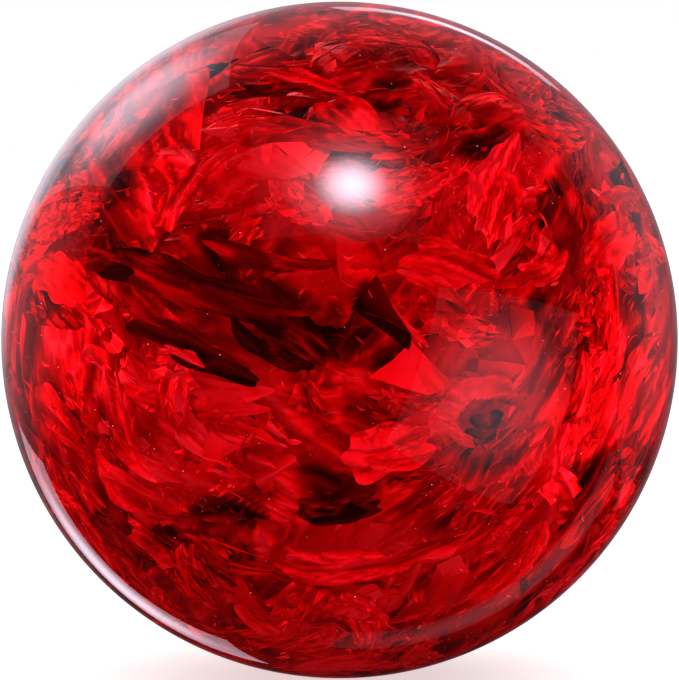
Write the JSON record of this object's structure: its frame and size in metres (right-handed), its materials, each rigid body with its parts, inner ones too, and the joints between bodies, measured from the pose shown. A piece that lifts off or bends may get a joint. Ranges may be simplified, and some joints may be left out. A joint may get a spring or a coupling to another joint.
{
  "type": "bowling ball",
  "caption": "Glossy clear red bowling ball with crumpled film cast inside, drilled for two fingers and a thumb, with inserts and a thumb slug.",
  "frame": {"origin": "centre of the ball", "axes": "+Y through the grip's centre and the locator pin; +Z from the thumb hole's side to the finger holes' side; -Z down to the floor"},
  "size_m": [0.2176, 0.2176, 0.2176],
  "materials": {
    "clear_resin": "polished clear polyester, tinted red",
    "film": "glossy transparent red film, crumpled",
    "filler": "dark maroon filled resin",
    "weight": "grey mineral-filled resin",
    "pin_resin": "polished resin, sanded flush",
    "grip_vinyl": "satin soft vinyl",
    "slug_urethane": "polished urethane, bore left satin"
  },
  "bodies": {
    "root": {"cover": "clear_resin", "core_filler": "filler", "weight_block": "weight", "locator_pin": "pin_resin", "middle_finger_insert": "grip_vinyl", "ring_finger_insert": "grip_vinyl", "thumb_slug": "slug_urethane", "film_sheet_01": "film", "film_sheet_02": "film", "film_sheet_03": "film", "film_sheet_04": "film", "film_sheet_05": "film", "film_sheet_06": "film", "film_sheet_07": "film", "film_sheet_08": "film", "film_sheet_09": "film", "film_sheet_10": "film", "film_sheet_11": "film", "film_sheet_12": "film", "film_sheet_13": "film", "film_sheet_14": "film", "film_sheet_15": "film", "film_sheet_16": "film", "film_sheet_17": "film", "film_sheet_18": "film", "film_sheet_19": "film", "film_sheet_20": "film", "film_sheet_21": "film", "film_sheet_22": "film", "film_sheet_23": "film", "film_sheet_24": "film", "film_sheet_25": "film", "film_sheet_26": "film", "film_sheet_27": "film", "film_sheet_28": "film", "film_sheet_29": "film", "film_sheet_30": "film", "film_sheet_31": "film", "film_sheet_32": "film", "film_sheet_33": "film", "film_sheet_34": "film", "film_sheet_35": "film", "film_sheet_36": "film", "film_sheet_37": "film", "film_sheet_38": "film", "film_sheet_39": "film", "film_sheet_40": "film", "film_sheet_41": "film", "film_sheet_42": "film", "film_sheet_43": "film", "film_sheet_44": "film", "film_sheet_45": "film", "film_sheet_46": "film", "film_sheet_47": "film", "film_sheet_48": "film"}
  },
  "joints": []
}
